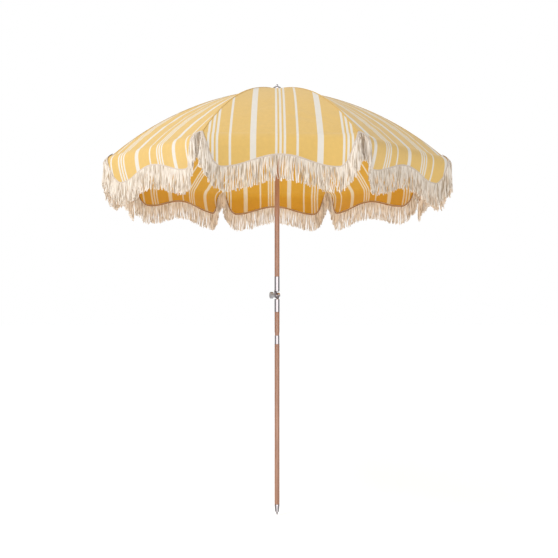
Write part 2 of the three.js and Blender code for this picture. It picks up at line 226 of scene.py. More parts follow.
def shell(name, rows, thickness):
    """Cloth with two faces from a grid of (point, normal, uv): material 0 outside, 1 inside."""
    shape = bmesh.new()
    uv_layer = shape.loops.layers.uv.new("cloth")
    sides = []
    for off in (0.5 * thickness, -0.5 * thickness):
        sides.append([[shape.verts.new(p + n * off) for p, n, _ in row] for row in rows])
    uvs = [[uv for _, _, uv in row] for row in rows]
    outer, inner = sides
    down, across = len(rows) - 1, len(rows[0]) - 1

    def quad(grid_corners, side):
        face = shape.faces.new([verts[j][i] for verts, j, i in grid_corners])
        face.material_index = side
        for loop, (_, j, i) in zip(face.loops, grid_corners):
            loop[uv_layer].uv = uvs[j][i]

    for j in range(down):
        for i in range(across):
            corners = [(j, i), (j + 1, i), (j + 1, i + 1), (j, i + 1)]
            quad([(outer, *c) for c in corners], 0)
            quad([(inner, *c) for c in reversed(corners)], 1)
        for i, ends in ((0, (j, j + 1)), (across, (j + 1, j))):
            a, b = ends
            quad([(outer, a, i), (inner, a, i), (inner, b, i), (outer, b, i)], 0)
    for i in range(across):
        for j, ends in ((0, (i + 1, i)), (down, (i, i + 1))):
            a, b = ends
            quad([(outer, j, a), (inner, j, a), (inner, j, b), (outer, j, b)], 0)
    mesh = mesh_of(name, shape)
    mesh.set_sharp_from_angle(angle=math.radians(60))
    return mesh


def swung(name, shape, heading):
    """A bmesh made in a gore's or rib's own frame, as a mesh in the row frame."""
    bmesh.ops.recalc_face_normals(shape, faces=shape.faces)
    for vert in shape.verts:
        vert.co = turn(vert.co, heading)
    return mesh_of(name, shape)


def sweep(shape, points, ups, profile):
    """Adds a bar to a bmesh: profile pairs are (along up, along side) at each point."""
    rings = []
    for k, (point, up) in enumerate(zip(points, ups)):
        ahead = (points[min(k + 1, len(points) - 1)] - points[max(k - 1, 0)]).normalized()
        side = ahead.cross(up).normalized()
        rings.append([shape.verts.new(point + up * a + side * b) for a, b in profile])
    count = len(profile)
    for ring, following in zip(rings, rings[1:]):
        for k in range(count):
            m = (k + 1) % count
            shape.faces.new([ring[k], ring[m], following[m], following[k]])
    shape.faces.new(list(reversed(rings[0])))
    shape.faces.new(rings[-1])
    return rings


def circle(radius, sides):
    turns = [2 * math.pi * k / sides for k in range(sides)]
    return [(radius * math.cos(a), radius * math.sin(a)) for a in turns]


def lathe(name, profile, sides=48):
    """A solid turned about the pole's axis from (radius, height) pairs that start and end on it."""
    shape = bmesh.new()
    rings = []
    for radius, height in profile:
        if radius == 0:
            rings.append([shape.verts.new((0, 0, height))])
        else:
            rings.append([shape.verts.new((x, y, height)) for x, y in circle(radius, sides)])
    for low, high in zip(rings, rings[1:]):
        for k in range(sides):
            m = (k + 1) % sides
            corners = [low[k % len(low)], low[m % len(low)]]
            corners += [high[m % len(high)], high[k % len(high)]]
            shape.faces.new(list(dict.fromkeys(corners)))
    bmesh.ops.recalc_face_normals(shape, faces=shape.faces)
    mesh = mesh_of(name, shape)
    mesh.set_sharp_from_angle(angle=math.radians(35))
    return mesh


# How a fitting is finished: its slot, its material and the last word of its name.
STEEL = ("polished_steel", "steel", "polished")
NYLON = ("white_nylon", "nylon", "moulded")
GREY = ("grey_plastic", "knob", "moulded")
SHARP = math.radians(32)  # edges of a fitting that turn by more than this are broken


def refined(node, bevel, finish):
    """A CAD part with its doubles merged, its flat faces whole and its edges broken by a bevel."""
    slot, material, ending = finish
    name = f"{node}_{ending}"
    shape = bmesh.new()
    shape.from_mesh(frame["nodes"][node].data)
    bmesh.ops.remove_doubles(shape, verts=shape.verts, dist=0.01 * MM)
    bmesh.ops.dissolve_limit(
        shape, angle_limit=math.radians(0.5), verts=shape.verts, edges=shape.edges)
    mesh = mesh_of(name, shape)
    mesh.materials.clear()
    mesh.set_sharp_from_angle(angle=SHARP)
    piece = place(name, mesh, BODY_OF[node], slot, MATERIALS[material])
    if bevel:
        cut = piece.modifiers.new("Broken edges", "BEVEL")
        cut.width = bevel
        cut.segments = 2
        cut.limit_method = "ANGLE"
        cut.angle_limit = SHARP
        cut.use_clamp_overlap = True
    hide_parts(node)


def grown(source, tree, values, name, body, slot, material):
    """Runs a Geometry Nodes tree on a guide mesh and keeps the plain mesh that it makes."""
    guide = bpy.data.objects.new(name + "_guide", source)
    bpy.context.scene.collection.objects.link(guide)
    modifier = guide.modifiers.new("Grow", "NODES")
    modifier.node_group = tree
    for item in tree.interface.items_tree:
        if item.item_type == "SOCKET" and item.in_out == "INPUT" and item.name in values:
            modifier[item.identifier] = values[item.name]
    bpy.context.view_layer.update()
    evaluated = guide.evaluated_get(bpy.context.evaluated_depsgraph_get())
    mesh = bpy.data.meshes.new_from_object(evaluated)
    mesh.name = name
    bpy.data.objects.remove(guide)
    mesh.materials.clear()
    return place(name, mesh, body, slot, material)


# ------------------------------------------------------------------ materials


def surface(name, roughness, metallic=0.0, **sockets):
    """A material with its Principled shader; constants go straight on the shader's sockets."""
    material = bpy.data.materials.new(name)
    material.use_nodes = True
    tree = material.node_tree
    shader = tree.nodes["Principled BSDF"]
    shader.inputs["Roughness"].default_value = roughness
    shader.inputs["Metallic"].default_value = metallic
    for key, value in sockets.items():
        shader.inputs[key.replace("_", " ")].default_value = value
    return material, tree, shader


def bumped(tree, shader, height, distance, strength):
    inputs = {"Height": height, "Distance": distance, "Strength": strength}
    bump = add(tree, "ShaderNodeBump", None, inputs)
    tree.links.new(bump.outputs["Normal"], shader.inputs["Normal"])


def object_place(tree):
    return add(tree, "ShaderNodeTexCoord").outputs["Object"]


def drawn_out(tree, place_at, share):
    """The object's own coordinates, squeezed so that a texture runs lengthwise."""
    inputs = {"Vector": place_at, "Scale": (1.0, 1.0, share)}
    return add(tree, "ShaderNodeMapping", None, inputs).outputs[0]


def cloudy(tree, vector, scale, detail=2.0):
    inputs = {"Vector": vector, "Scale": scale, "Detail": detail}
    return add(tree, "ShaderNodeTexNoise", None, inputs).outputs[0]


def toned(colour, red, green, blue):
    """A colour with its channels scaled."""
    return [c * share for c, share in zip(colour[:3], (red, green, blue))] + [1.0]


def mixed(tree, factor, first, second):
    mix = add(tree, "ShaderNodeMix", {"data_type": "RGBA"}, {"Factor": factor})
    for socket, value in ((mix.inputs[6], first), (mix.inputs[7], second)):
        if isinstance(value, bpy.types.NodeSocket):
            tree.links.new(value, socket)
        else:
            socket.default_value = value
    return mix.outputs[2]


def calc(tree, operation, *values, clamp=False):
    settings = {"operation": operation, "use_clamp": clamp}
    return add(tree, "ShaderNodeMath", settings, dict(enumerate(values))).outputs[0]


# Stripes within one repeat of the cloth: place of the middle and width.
THIN = 10 * MM
STRIPES = [(-17 * MM, THIN), (1 * MM, THIN), (19 * MM, THIN), (73 * MM, THIN), (170 * MM, 26 * MM)]
STRIPE_EDGE = 0.8 * MM
CANVAS_THREAD = 2.2 * MM  # real threads are 0.5 mm; drawn coarser so that the weave shows


def striped_canvas(name, ground, stripe, repeat):
    """Solution-dyed woven canvas: matt, with a faint sheen, a plain weave and woven-in stripes."""
    material, tree, shader = surface(name, 0.82, Sheen_Weight=0.25, Sheen_Roughness=0.6)
    shader.inputs["Specular IOR Level"].default_value = 0.25
    uv = add(tree, "ShaderNodeUVMap", {"uv_map": "cloth"}).outputs["UV"]
    split = add(tree, "ShaderNodeSeparateXYZ", None, {0: uv})
    across, along = split.outputs["X"], split.outputs["Y"]
    wrapped = calc(tree, "WRAP", across, 0.75 * repeat, -0.25 * repeat)
    mask = None
    for middle, width in STRIPES:
        off = calc(tree, "ABSOLUTE", calc(tree, "SUBTRACT", wrapped, middle))
        edges = {0: off, 1: (width + STRIPE_EDGE) / 2, 2: (width - STRIPE_EDGE) / 2}
        inside = add(tree, "ShaderNodeMapRange", {"clamp": True}, edges).outputs[0]
        mask = inside if mask is None else calc(tree, "MAXIMUM", mask, inside)
    threads = 2 * math.pi / CANVAS_THREAD
    warp = calc(tree, "SINE", calc(tree, "MULTIPLY", across, threads))
    weft = calc(tree, "SINE", calc(tree, "MULTIPLY", along, threads))
    weave = calc(tree, "MULTIPLY", warp, weft)
    slubs = cloudy(tree, uv, 55.0, 5.0)
    cloud = calc(tree, "MULTIPLY", cloudy(tree, uv, 7.0, 3.0), 0.3)
    shade = calc(tree, "ADD", calc(tree, "MULTIPLY", slubs, 0.6), cloud)
    yellow = mixed(tree, shade, ground, toned(ground, 0.8, 0.8, 0.8))
    cream = mixed(tree, shade, stripe, toned(stripe, 0.9, 0.9, 0.9))
    tree.links.new(mixed(tree, mask, yellow, cream), shader.inputs["Base Color"])
    height = calc(tree, "ADD", weave, calc(tree, "MULTIPLY", slubs, 0.8))
    bumped(tree, shader, height, 0.12 * MM, 0.6)
    return material


def plain_canvas(name, ground):
    """The same canvas cut as a plain strip, for seams and hems."""
    material, tree, shader = surface(name, 0.85, Sheen_Weight=0.2)
    slubs = cloudy(tree, object_place(tree), 400.0, 3.0)
    deeper = toned(ground, 0.84, 0.84, 0.84)
    tree.links.new(mixed(tree, slubs, ground, deeper), shader.inputs["Base Color"])
    bumped(tree, shader, slubs, 0.15 * MM, 0.5)
    return material


def cotton_cord(name, ground):
    """Loosely twisted natural cotton: fully matt and soft, with random lengthwise streaks tinted browner, partly
    cord-to-cord tone and partly painted shade between cords.
    """
    material, tree, shader = surface(name, 0.95, Sheen_Weight=0.35, Sheen_Roughness=0.7)
    shader.inputs["Specular IOR Level"].default_value = 0.1
    place_at = object_place(tree)
    # Browner streaks: partly random cord-to-cord tone, partly painted shade in the gaps between cords.
    streaks_and_shade = cloudy(tree, drawn_out(tree, place_at, 0.06), 210.0, 1.0)
    deeper = toned(ground, 0.56, 0.48, 0.38)
    spread = add(tree, "ShaderNodeMapRange", None, {0: streaks_and_shade, 1: 0.47, 2: 0.62}).outputs[0]
    tree.links.new(mixed(tree, spread, ground, deeper), shader.inputs["Base Color"])
    twist = add(tree, "ShaderNodeTexWave", {"bands_direction": "DIAGONAL"},
                {"Vector": place_at, "Scale": 110.0, "Distortion": 3.0}).outputs[1]
    bumped(tree, shader, twist, 0.4 * MM, 0.5)
    return material


def cotton_braid(name, ground):
    """Flat plaited heading of the fringe: the same cotton, its plaits slanting both ways, painted darker in the
    grooves between plaits as shade.
    """
    material, tree, shader = surface(name, 0.95, Sheen_Weight=0.3)
    uv = add(tree, "ShaderNodeUVMap", {"uv_map": "braid"}).outputs["UV"]
    split = add(tree, "ShaderNodeSeparateXYZ", None, {0: uv})
    plait = 2 * math.pi / (7 * MM)
    lean = calc(tree, "ABSOLUTE", split.outputs["Y"])
    slant = calc(tree, "ADD", split.outputs["X"], lean)
    wave = calc(tree, "SINE", calc(tree, "MULTIPLY", slant, plait))
    # Painted shade: the colour darkens where the plait's relief is low, in the grooves between plaits.
    tone = calc(tree, "MULTIPLY_ADD", wave, 0.25, 0.4)
    deeper = toned(ground, 0.86, 0.82, 0.76)
    tree.links.new(mixed(tree, tone, deeper, ground), shader.inputs["Base Color"])
    bumped(tree, shader, wave, 0.6 * MM, 0.7)
    return material


def varnished_wood(name, ground):
    """Turned beech under satin varnish: fine grain drawn out along the pole, soft highlights."""
    material, tree, shader = surface(name, 0.32, Coat_Weight=0.8, Coat_Roughness=0.2)
    shader.inputs["Specular IOR Level"].default_value = 0.8
    lengthwise = drawn_out(tree, object_place(tree), 0.06)
    grain = cloudy(tree, lengthwise, 420.0, 6.0)
    bands = calc(tree, "MULTIPLY", cloudy(tree, lengthwise, 90.0), 0.5)
    tone = calc(tree, "ADD", calc(tree, "MULTIPLY", grain, 0.6), bands, clamp=True)
    darker = toned(ground, 0.62, 0.52, 0.45)
    spread = add(tree, "ShaderNodeMapRange", None, {0: tone, 1: 0.35, 2: 0.8}).outputs[0]
    tree.links.new(mixed(tree, spread, ground, darker), shader.inputs["Base Color"])
    bumped(tree, shader, grain, 0.05 * MM, 0.4)
    return material


def polished_steel(name, ground):
    """Drawn and polished stainless steel: bright, with faint lengthwise rubbing marks."""
    material, tree, shader = surface(name, 0.22, 1.0)
    shader.inputs["Base Color"].default_value = ground
    marks = cloudy(tree, drawn_out(tree, object_place(tree), 0.15), 900.0, 3.0)
    rough = add(tree, "ShaderNodeMapRange", None, {0: marks, 3: 0.18, 4: 0.27}).outputs[0]
    tree.links.new(rough, shader.inputs["Roughness"])
    bumped(tree, shader, marks, 0.002 * MM, 0.1)
    return material


def moulded_plastic(name, ground, roughness, grit):
    """Moulded plastic with the fine spark-eroded grain of its tool."""
    material, tree, shader = surface(name, roughness)
    grain = cloudy(tree, object_place(tree), 1 / grit)
    darker = toned(ground, 0.9, 0.9, 0.9)
    tree.links.new(mixed(tree, grain, ground, darker), shader.inputs["Base Color"])
    bumped(tree, shader, grain, 0.04 * MM, 0.5)
    return material


MATERIALS = {}


def make_materials():
    colours = bpy.context.scene.umbrella_colours
    repeat = bpy.context.scene.umbrella_canopy.stripe_repeat
    canvas, stripe = list(colours.canvas), list(colours.stripe)
    # The underside's colours are painted light: deeper orange canvas and yellowed stripes stand for light shining
    # through the canvas.
    inside, inner_stripe_painted_light = list(colours.canvas_inside_painted_light), toned(stripe, 1.0, 0.94, 0.78)
    MATERIALS.update(
        outside=striped_canvas("Woven canvas, outside", canvas, stripe, repeat),
        inside=striped_canvas("Woven canvas, underside with painted light", inside, inner_stripe_painted_light, repeat),
        seam=plain_canvas("Canvas seam tape", canvas),
        # The hem's dark brown is painted shade: it stands for the shadow line along the flap's lower edge inside.
        hem=plain_canvas("Canvas hem, darkened as painted shade", linear("#B47A34")),
        cord=cotton_cord("Twisted cotton cord with painted shade", list(colours.cotton)),
        braid=cotton_braid("Plaited cotton heading with painted shade", linear("#E6D8CC")),
        wood=varnished_wood("Varnished beech", list(colours.wood)),
        steel=polished_steel("Polished stainless steel", list(colours.steel)),
        knob=moulded_plastic("Moulded grey nylon", list(colours.knob), 0.5, 0.6 * MM),
        nylon=moulded_plastic("Moulded white nylon", list(colours.nylon), 0.45, 0.6 * MM),
        rod=moulded_plastic("Pultruded fibreglass", list(colours.nylon), 0.3, 0.4 * MM),
    )


# ------------------------------------------------------------------ shape of the cloth


def arc_centre(canopy):
    slope = canopy.tip_slope
    return (TIP_RADIUS - canopy.arc_radius * math.sin(slope),
            EDGE_HEIGHT - canopy.arc_radius * math.cos(slope))


def arc_point(canopy, slope, depth=0.0):
    radius, height = arc_centre(canopy)
    reach = canopy.arc_radius - depth
    return radius + reach * math.sin(slope), height + reach * math.cos(slope)


def slope_at(canopy, radius, depth=0.0):
    return math.asin((radius - arc_centre(canopy)[0]) / (canopy.arc_radius - depth))


def drop_at(valance, s):
    """Depth of the flap below the gore's edge, at a distance s from the gore's middle."""
    a = abs(s)
    if a <= valance.lobe_at:
        middle = (valance.centre_drop + valance.lobe_drop) / 2
        swing = (valance.lobe_drop - valance.centre_drop) / 2
        return middle - swing * math.cos(math.pi * a / valance.lobe_at)
    past = (a - valance.lobe_at) / (valance.corner_at - valance.lobe_at)
    return valance.lobe_drop - (valance.lobe_drop - valance.corner_drop) * past ** 2


FLARE_DEPTH = 18 * MM  # most of the flare is reached this far below the edge
TUCK = 30 * MM  # how far a lobe's foot draws back in
FOLD_LENGTH = 95 * MM
FOLD_DEPTH = 5 * MM
CORDS_OUT = 1.8 * MM  # how far the fringe stands off the flap
SIDE_STEPS = 14  # points down one side of a slit
SLIT_SPREADS = (8 * MM, 17 * MM)  # more cords at a slit fall this far over the gap


def hang(valance, number, s, depth, stand=0.0):
    """A point of the hanging flap: it flares, then falls, in shallow folds that grow downwards."""
    flare = valance.flare + valance.lobe_flare * (s / valance.lobe_at) ** 2
    out = flare * (1 - math.exp(-depth / FLARE_DEPTH)) - TUCK * (depth / valance.lobe_drop) ** 2
    growth = min(depth / valance.centre_drop, 1.2)
    ripple = noise.noise(Vector((s / FOLD_LENGTH, number * 3.7, 0.0))) * FOLD_DEPTH * growth
    return Vector((EDGE_PLANE + out + ripple + stand, s, EDGE_HEIGHT - depth))


SEAM_GAP = 0.3 * MM


def with_normals(grid):
    """Fills in each point's normal from its neighbours in the grid, facing outwards."""
    down, across = len(grid) - 1, len(grid[0]) - 1
    for j, line in enumerate(grid):
        for i, item in enumerate(line):
            sidewards = line[min(i + 1, across)][0] - line[max(i - 1, 0)][0]
            downwards = grid[min(j + 1, down)][i][0] - grid[max(j - 1, 0)][i][0]
            item[1] = downwards.cross(sidewards).normalized()
    return grid


# Grid of a gore's cloth: steps along it and across it, and steps down its flap.
ALONG = 60
ACROSS = 60
DOWN = 20
SWELL = 3 * MM  # unevenness of the stretched cloth
PUCKER = 0.5 * MM  # small waves along the seams
PUCKER_LENGTH = 26 * MM
CREASE = 30 * MM
CREASE_REACH = 170 * MM
GRAIN_LEAN = 0.009  # the stripes run this much off the gore's middle line
# Gores that were cut from another place on the bolt: direction of the pattern and its shift.
CUT_ELSEWHERE = {
    2: (1, 152 * MM),
    4: (-1, 20 * MM),
    5: (1, -22 * MM),
    6: (1, 86 * MM),
    8: (-1, 67 * MM),
}


def cloth_uv(number, s, above, length):
    direction, shift = CUT_ELSEWHERE.get(number, (1, 0.0))
    return direction * s + shift - GRAIN_LEAN * above, length


def pull(aside, above, seed):
    """Soft creases that fan out from the corner where the cloth is tied to a rib's tip."""
    reach = math.hypot(aside, above)
    fan = noise.noise(Vector((math.atan2(above, aside) * 4.5, reach * 2, seed * 2.3)))
    return CREASE * fan * math.exp(-reach / CREASE_REACH)


def cloth_rows(canopy, valance, number, heading):
    """One gore and the flap below it as a single grid, so that they meet without a break."""
    first = slope_at(canopy, CLOTH_HOLE)
    whole = canopy.arc_radius * (canopy.tip_slope - first)
    grid = []
    for j in range(ALONG + 1):
        v = j / ALONG
        slope = first + (canopy.tip_slope - first) * v
        radius, height = arc_point(canopy, slope)
        length = whole * v
        inwards = Vector((-math.sin(slope), 0.0, -math.cos(slope)))
        half = radius * math.sin(HALF_GORE) - SEAM_GAP
        middle = math.sin(math.pi * v)
        line = []
        for i in range(ACROSS + 1):
            u = 2 * i / ACROSS - 1
            s = half * u
            loose = (1 - u * u) * middle
            dip = canopy.sag * loose
            dip += PUCKER * u ** 8 * middle * math.sin(length * 2 * math.pi / PUCKER_LENGTH)
            dip += SWELL * loose * noise.noise(Vector((s * 6, length * 3, number * 5.1)))
            dip += pull(half - abs(s), whole - length, number + (s > 0)) * loose
            point = Vector((radius * math.cos(HALF_GORE), s, height)) + inwards * dip
            line.append([turn(point, heading), None, cloth_uv(number, s, whole - length, length)])
        grid.append(line)
    for j in range(1, DOWN + 1):
        v = j / DOWN
        line = []
        for i in range(ACROSS + 1):
            u = 2 * i / ACROSS - 1
            foot = valance.corner_at * u
            s = half * u + (foot - half * u) * v
            depth = drop_at(valance, foot) * v
            point = hang(valance, number, s, depth)
            line.append([turn(point, heading), None, cloth_uv(number, s, -depth, length + depth)])
        grid.append(line)
    return with_normals(grid)


def flat_size(rows):
    """Width and length of the cloth laid flat, from its longest row and its longest column."""
    def run(line):
        return sum(math.dist(a[0], b[0]) for a, b in zip(line, line[1:]))
    return max(run(row) for row in rows), max(run(column) for column in zip(*rows))


def edge_path(valance, number, stand, step=8 * MM, spread=0.0):
    """Points from a rib's tip down one side of the slit, along the lobes and up to the next tip."""
    half = EDGE_PLANE * math.tan(HALF_GORE) - 1 * MM
    side = []
    for k in range(1, SIDE_STEPS):
        share = k / SIDE_STEPS
        towards_rib = spread * math.sin(math.pi * share)
        aside = half + (valance.corner_at - half) * share + towards_rib
        side.append((aside, valance.corner_drop * share))
    bottom_steps = round(2 * valance.corner_at / step)
    feet = [valance.corner_at * (2 * k / bottom_steps - 1) for k in range(bottom_steps + 1)]
    bottom = [(s, drop_at(valance, s)) for s in feet]
    pairs = [(-s, d) for s, d in side] + bottom + list(reversed(side))
    path = [hang(valance, number, s, d, stand) for s, d in pairs]
    over_tip = (TIP_RADIUS + 2 * stand, 0.0, EDGE_HEIGHT + 1 * MM)
    return [turn(over_tip, -HALF_GORE)] + path + [turn(over_tip, HALF_GORE)]


# ------------------------------------------------------------------ Geometry Nodes trees


def new_tree(name, *floats):
    """A Geometry Nodes tree with a mesh in and out and named inputs for its sizes."""
    tree = bpy.data.node_groups.new(name, "GeometryNodeTree")
    tree.interface.new_socket("Geometry", in_out="INPUT", socket_type="NodeSocketGeometry")
    tree.interface.new_socket("Geometry", in_out="OUTPUT", socket_type="NodeSocketGeometry")
    for label, default in floats:
        socket = tree.interface.new_socket(label, in_out="INPUT", socket_type="NodeSocketFloat")
        socket.default_value = default
    tree.interface.new_socket("Seed", in_out="INPUT", socket_type="NodeSocketInt")
    entry = add(tree, "NodeGroupInput")
    return tree, entry.outputs


def close_tree(tree, geometry, material):
    real = add(tree, "GeometryNodeRealizeInstances", None, {0: geometry}).outputs[0]
    coloured = add(tree, "GeometryNodeSetMaterial", None, {"Geometry": real, "Material": material})
    add(tree, "NodeGroupOutput", None, {0: coloured.outputs[0]})
    return tree


def vector_calc(tree, operation, *values, **named):
    settings = {"operation": operation}
    return add(tree, "ShaderNodeVectorMath", settings, dict(enumerate(values)) | named).outputs[0]


SWAY = 7 * MM
CORD_POINTS = 14


def fringe_tree(material):
    """Cords hung at even steps along a line; each one wanders, and its neighbours with it."""
    floats = (("Pitch", 6 * MM), ("Length", 0.1), ("Radius", 2 * MM), ("Sway", SWAY))
    tree, given = new_tree("Fringe of hanging cords", *floats)
    line = add(tree, "GeometryNodeMeshToCurve", None, {0: given["Geometry"]}).outputs[0]
    posts = add(tree, "GeometryNodeResampleCurve", {"mode": "LENGTH"},
                {"Curve": line, "Length": given["Pitch"]}).outputs[0]
    straight = add(tree, "GeometryNodeCurvePrimitiveLine", None,
                   {"End": (0.0, 0.0, -1.0)}).outputs[0]
    stepped = add(tree, "GeometryNodeResampleCurve", None,
                  {"Curve": straight, "Count": CORD_POINTS}).outputs[0]
    share = add(tree, "FunctionNodeRandomValue", {"data_type": "FLOAT"},
                {2: 0.94, 3: 1.06, "Seed": given["Seed"]}).outputs[1]
    drop = calc(tree, "MULTIPLY", share, given["Length"])
    size = add(tree, "ShaderNodeCombineXYZ", None, {0: 1.0, 1: 1.0, 2: drop}).outputs[0]
    hung = add(tree, "GeometryNodeInstanceOnPoints", None,
               {"Points": posts, "Instance": stepped, "Scale": size}).outputs[0]
    loose = add(tree, "GeometryNodeRealizeInstances", None, {0: hung}).outputs[0]
    here = add(tree, "GeometryNodeInputPosition").outputs[0]
    along = add(tree, "GeometryNodeSplineParameter").outputs["Factor"]
    wander = None
    for scale, stretch, amount in ((34.0, 0.22, 0.8), (140.0, 0.1, 0.9)):
        squeezed = vector_calc(tree, "MULTIPLY", here, (1.0, 1.0, stretch))
        cloud = add(tree, "ShaderNodeTexNoise", None,
                    {"Vector": squeezed, "Scale": scale, "Detail": 0.0}).outputs["Color"]
        centred = vector_calc(tree, "SUBTRACT", cloud, (0.5, 0.5, 0.5))
        part = vector_calc(tree, "SCALE", centred, Scale=amount)
        wander = part if wander is None else vector_calc(tree, "ADD", wander, part)
    reach = calc(tree, "MULTIPLY", calc(tree, "POWER", along, 0.8), given["Sway"])
    moved = vector_calc(tree, "SCALE", wander, Scale=calc(tree, "MULTIPLY", reach, 4.0))
    flat = vector_calc(tree, "MULTIPLY", moved, (1.0, 1.0, 0.3))
    bent = add(tree, "GeometryNodeSetPosition", None,
               {"Geometry": loose, "Offset": flat}).outputs[0]
    ring = add(tree, "GeometryNodeCurvePrimitiveCircle", None,
               {"Resolution": 5, "Radius": given["Radius"]}).outputs[0]
    cords = add(tree, "GeometryNodeCurveToMesh", None,
                {"Curve": bent, "Profile Curve": ring, "Fill Caps": True}).outputs[0]
    soft = add(tree, "GeometryNodeSetShadeSmooth", None, {0: cords}).outputs[0]
    return close_tree(tree, soft, material)


def stitch_tree(material):
    """Short raised stitches at even steps along a line, each lying the way the line runs."""
    floats = (("Pitch", 6 * MM), ("Length", 3.6 * MM), ("Radius", 0.4 * MM))
    tree, given = new_tree("Row of stitches", *floats)
    line = add(tree, "GeometryNodeMeshToCurve", None, {0: given["Geometry"]}).outputs[0]
    posts = add(tree, "GeometryNodeCurveToPoints", {"mode": "LENGTH"},
                {"Curve": line, "Length": given["Pitch"]})
    bead = add(tree, "GeometryNodeMeshUVSphere", None,
               {"Segments": 6, "Rings": 4, "Radius": 1.0}).outputs["Mesh"]
    reach = calc(tree, "MULTIPLY", given["Length"], 0.5)
    size = add(tree, "ShaderNodeCombineXYZ", None,
               {0: given["Radius"], 1: given["Radius"], 2: reach})
    lie = add(tree, "FunctionNodeAlignRotationToVector", {"axis": "Z"},
              {"Vector": posts.outputs["Tangent"]}).outputs[0]
    sewn = add(tree, "GeometryNodeInstanceOnPoints", None,
               {"Points": posts.outputs["Points"], "Instance": bead,
                "Rotation": lie, "Scale": size.outputs[0]}).outputs[0]
    return close_tree(tree, sewn, material)


def line_mesh(name, *lines):
    """Guide lines for a tree: bare vertices joined by edges."""
    mesh = bpy.data.meshes.new(name)
    points, edges = [], []
    for line in lines:
        start = len(points)
        points += line
        edges += [(start + k, start + k + 1) for k in range(len(line) - 1)]
    mesh.from_pydata(points, edges, [])
    return mesh


# ------------------------------------------------------------------ operators, one for each group


WHITE = (1.0, 1.0, 1.0, 1.0)


class UMBRELLA_OT_stage(bpy.types.Operator):
    """Builds the floor, the soft lights and the camera"""

    bl_idname = "umbrella.stage"
    bl_label = "Stage"

    def execute(self, context):
        scene = context.scene
        floor = bmesh.new()
        bmesh.ops.create_grid(floor, x_segments=1, y_segments=1, size=30)
        ground = bpy.data.objects.new("floor", mesh_of("floor", floor, smooth=False))
        scene.collection.objects.link(ground)
        paper, tree, shader = surface(
            "White studio paper", 0.9, Emission_Strength=0.5, Emission_Color=WHITE)
        fibres = cloudy(tree, object_place(tree), 30.0)
        tone = mixed(tree, fibres, linear("#F7F7F7"), linear("#F4F4F4"))
        tree.links.new(tone, shader.inputs["Base Color"])
        ground.data.materials.append(paper)
        ground.visible_glossy = False
        self.light_world(scene)
        self.add_lamp(scene, Vector((-3.5, -2.6, 6.0)), Vector((0.0, 0.0, 1.7)))
        self.add_camera(scene)
        return {"FINISHED"}

    def light_world(self, scene):
        """White behind the object, a softer room, and a tall soft panel in front for the metal."""
        world = bpy.data.worlds.new("Studio")
        scene.world = world
        world.use_nodes = True
        tree = world.node_tree
        rays = add(tree, "ShaderNodeLightPath").outputs
        room = add(tree, "ShaderNodeBackground", None, {0: WHITE, 1: 0.58}).outputs[0]
        depth = add(tree, "ShaderNodeSeparateXYZ", None, {0: object_place(tree)}).outputs["Y"]
        front = add(tree, "ShaderNodeMapRange", {"interpolation_type": "SMOOTHSTEP"},
                    {0: depth, 1: -0.66, 2: -0.97, 3: 0.36, 4: 2.0}).outputs[0]
        mirrored = add(tree, "ShaderNodeBackground", None, {0: WHITE, 1: front}).outputs[0]
        backdrop = add(tree, "ShaderNodeBackground", None, {0: WHITE, 1: 1.0}).outputs[0]
        near = add(tree, "ShaderNodeMixShader", None,
                   {0: rays["Is Glossy Ray"], 1: room, 2: mirrored}).outputs[0]
        both = add(tree, "ShaderNodeMixShader", None,
                   {0: rays["Is Camera Ray"], 1: near, 2: backdrop}).outputs[0]
        tree.links.new(both, tree.nodes["World Output"].inputs[0])
        scene.view_settings.view_transform = "Standard"

    def add_lamp(self, scene, at, towards):
        data = bpy.data.lights.new("key", "AREA")
        data.shape = "DISK"
        data.size = 2.0
        data.energy = 165
        lamp = bpy.data.objects.new("key", data)
        lamp.location = at
        lamp.rotation_euler = (towards - at).to_track_quat("-Z", "Y").to_euler()
        scene.collection.objects.link(lamp)

    def add_camera(self, scene):
        distance, height, swing = 3.788, 1.156, math.radians(-1.0)
        data = bpy.data.cameras.new("camera")
        data.sensor_width = 36.0
        data.lens = 45.31
        data.shift_x, data.shift_y = 0.0035, 0.0397
        camera = bpy.data.objects.new("camera", data)
        camera.location = (distance * math.sin(swing), -distance * math.cos(swing), height)
        camera.rotation_euler = (math.pi / 2, 0.0, swing)
        scene.collection.objects.link(camera)
        scene.camera = camera


JOIN_GAP = 0.3 * MM  # between a wooden length and the fittings at its ends
WOOD_EDGE = 0.8 * MM
TAPER = 20 * MM
TAPER_IN = 2 * MM
# Each wooden length: the fittings below and above it, and the radii of its ends inside them.
LENGTHS = {
    "pole_lower": ("ground_spike", "ferrule_socket", 9.6 * MM, 11.0 * MM),
    "pole_middle": ("ferrule_socket", "tilt_base", 9.5 * MM, 12.2 * MM),
    "pole_upper": ("tilt_head", "crown_hub", 12.2 * MM, 9.0 * MM),
}


